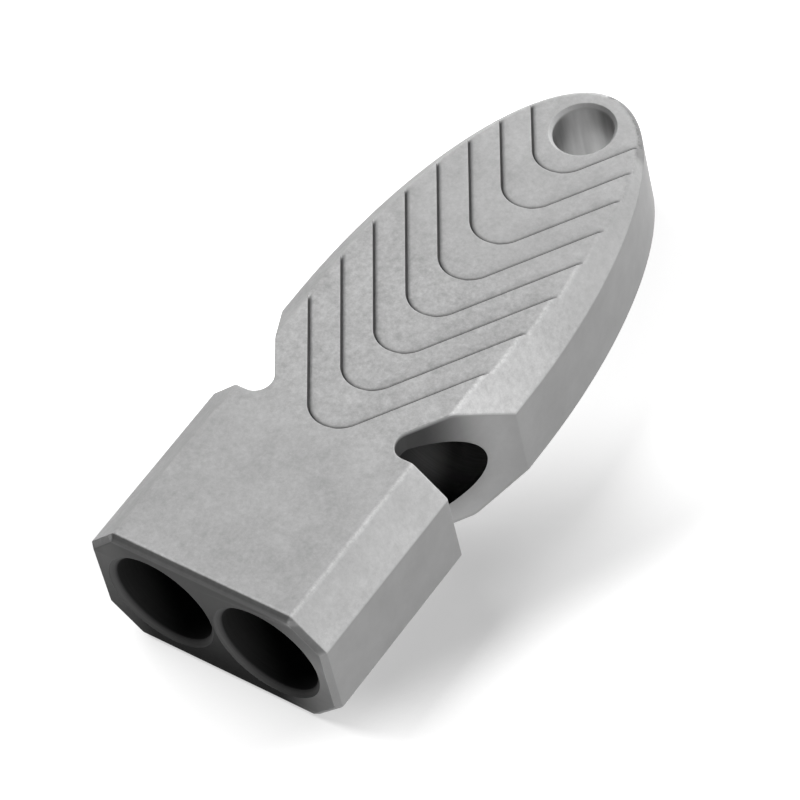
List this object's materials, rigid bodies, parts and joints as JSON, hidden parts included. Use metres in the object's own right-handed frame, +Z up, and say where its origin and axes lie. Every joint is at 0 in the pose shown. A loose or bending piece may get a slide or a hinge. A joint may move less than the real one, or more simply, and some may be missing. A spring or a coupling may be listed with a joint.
{
  "type": "survival whistle",
  "caption": "Flat titanium survival whistle with side-by-side sounding tubes, side windows and a leaf-shaped, stepped grip that ends in a lanyard hole.",
  "frame": {"origin": "under the middle of the whistle's length and width, on the bottom face that it lies on", "axes": "+Y along the length from the mouth face to the tip of the leaf, +Z up out of the top face, +X to the right seen from the mouth with the top up"},
  "size_m": [0.02, 0.0506, 0.0113],
  "materials": {
    "blasted_titanium": "Bare titanium, milled, then bead-blasted and tumbled to an even satin grey with slightly brighter edges",
    "turned_titanium": "Bare titanium bar, turned, with one milled flat"
  },
  "bodies": {
    "root": {"body": "blasted_titanium", "windway_plug_left": "turned_titanium", "windway_plug_right": "turned_titanium"}
  },
  "joints": []
}
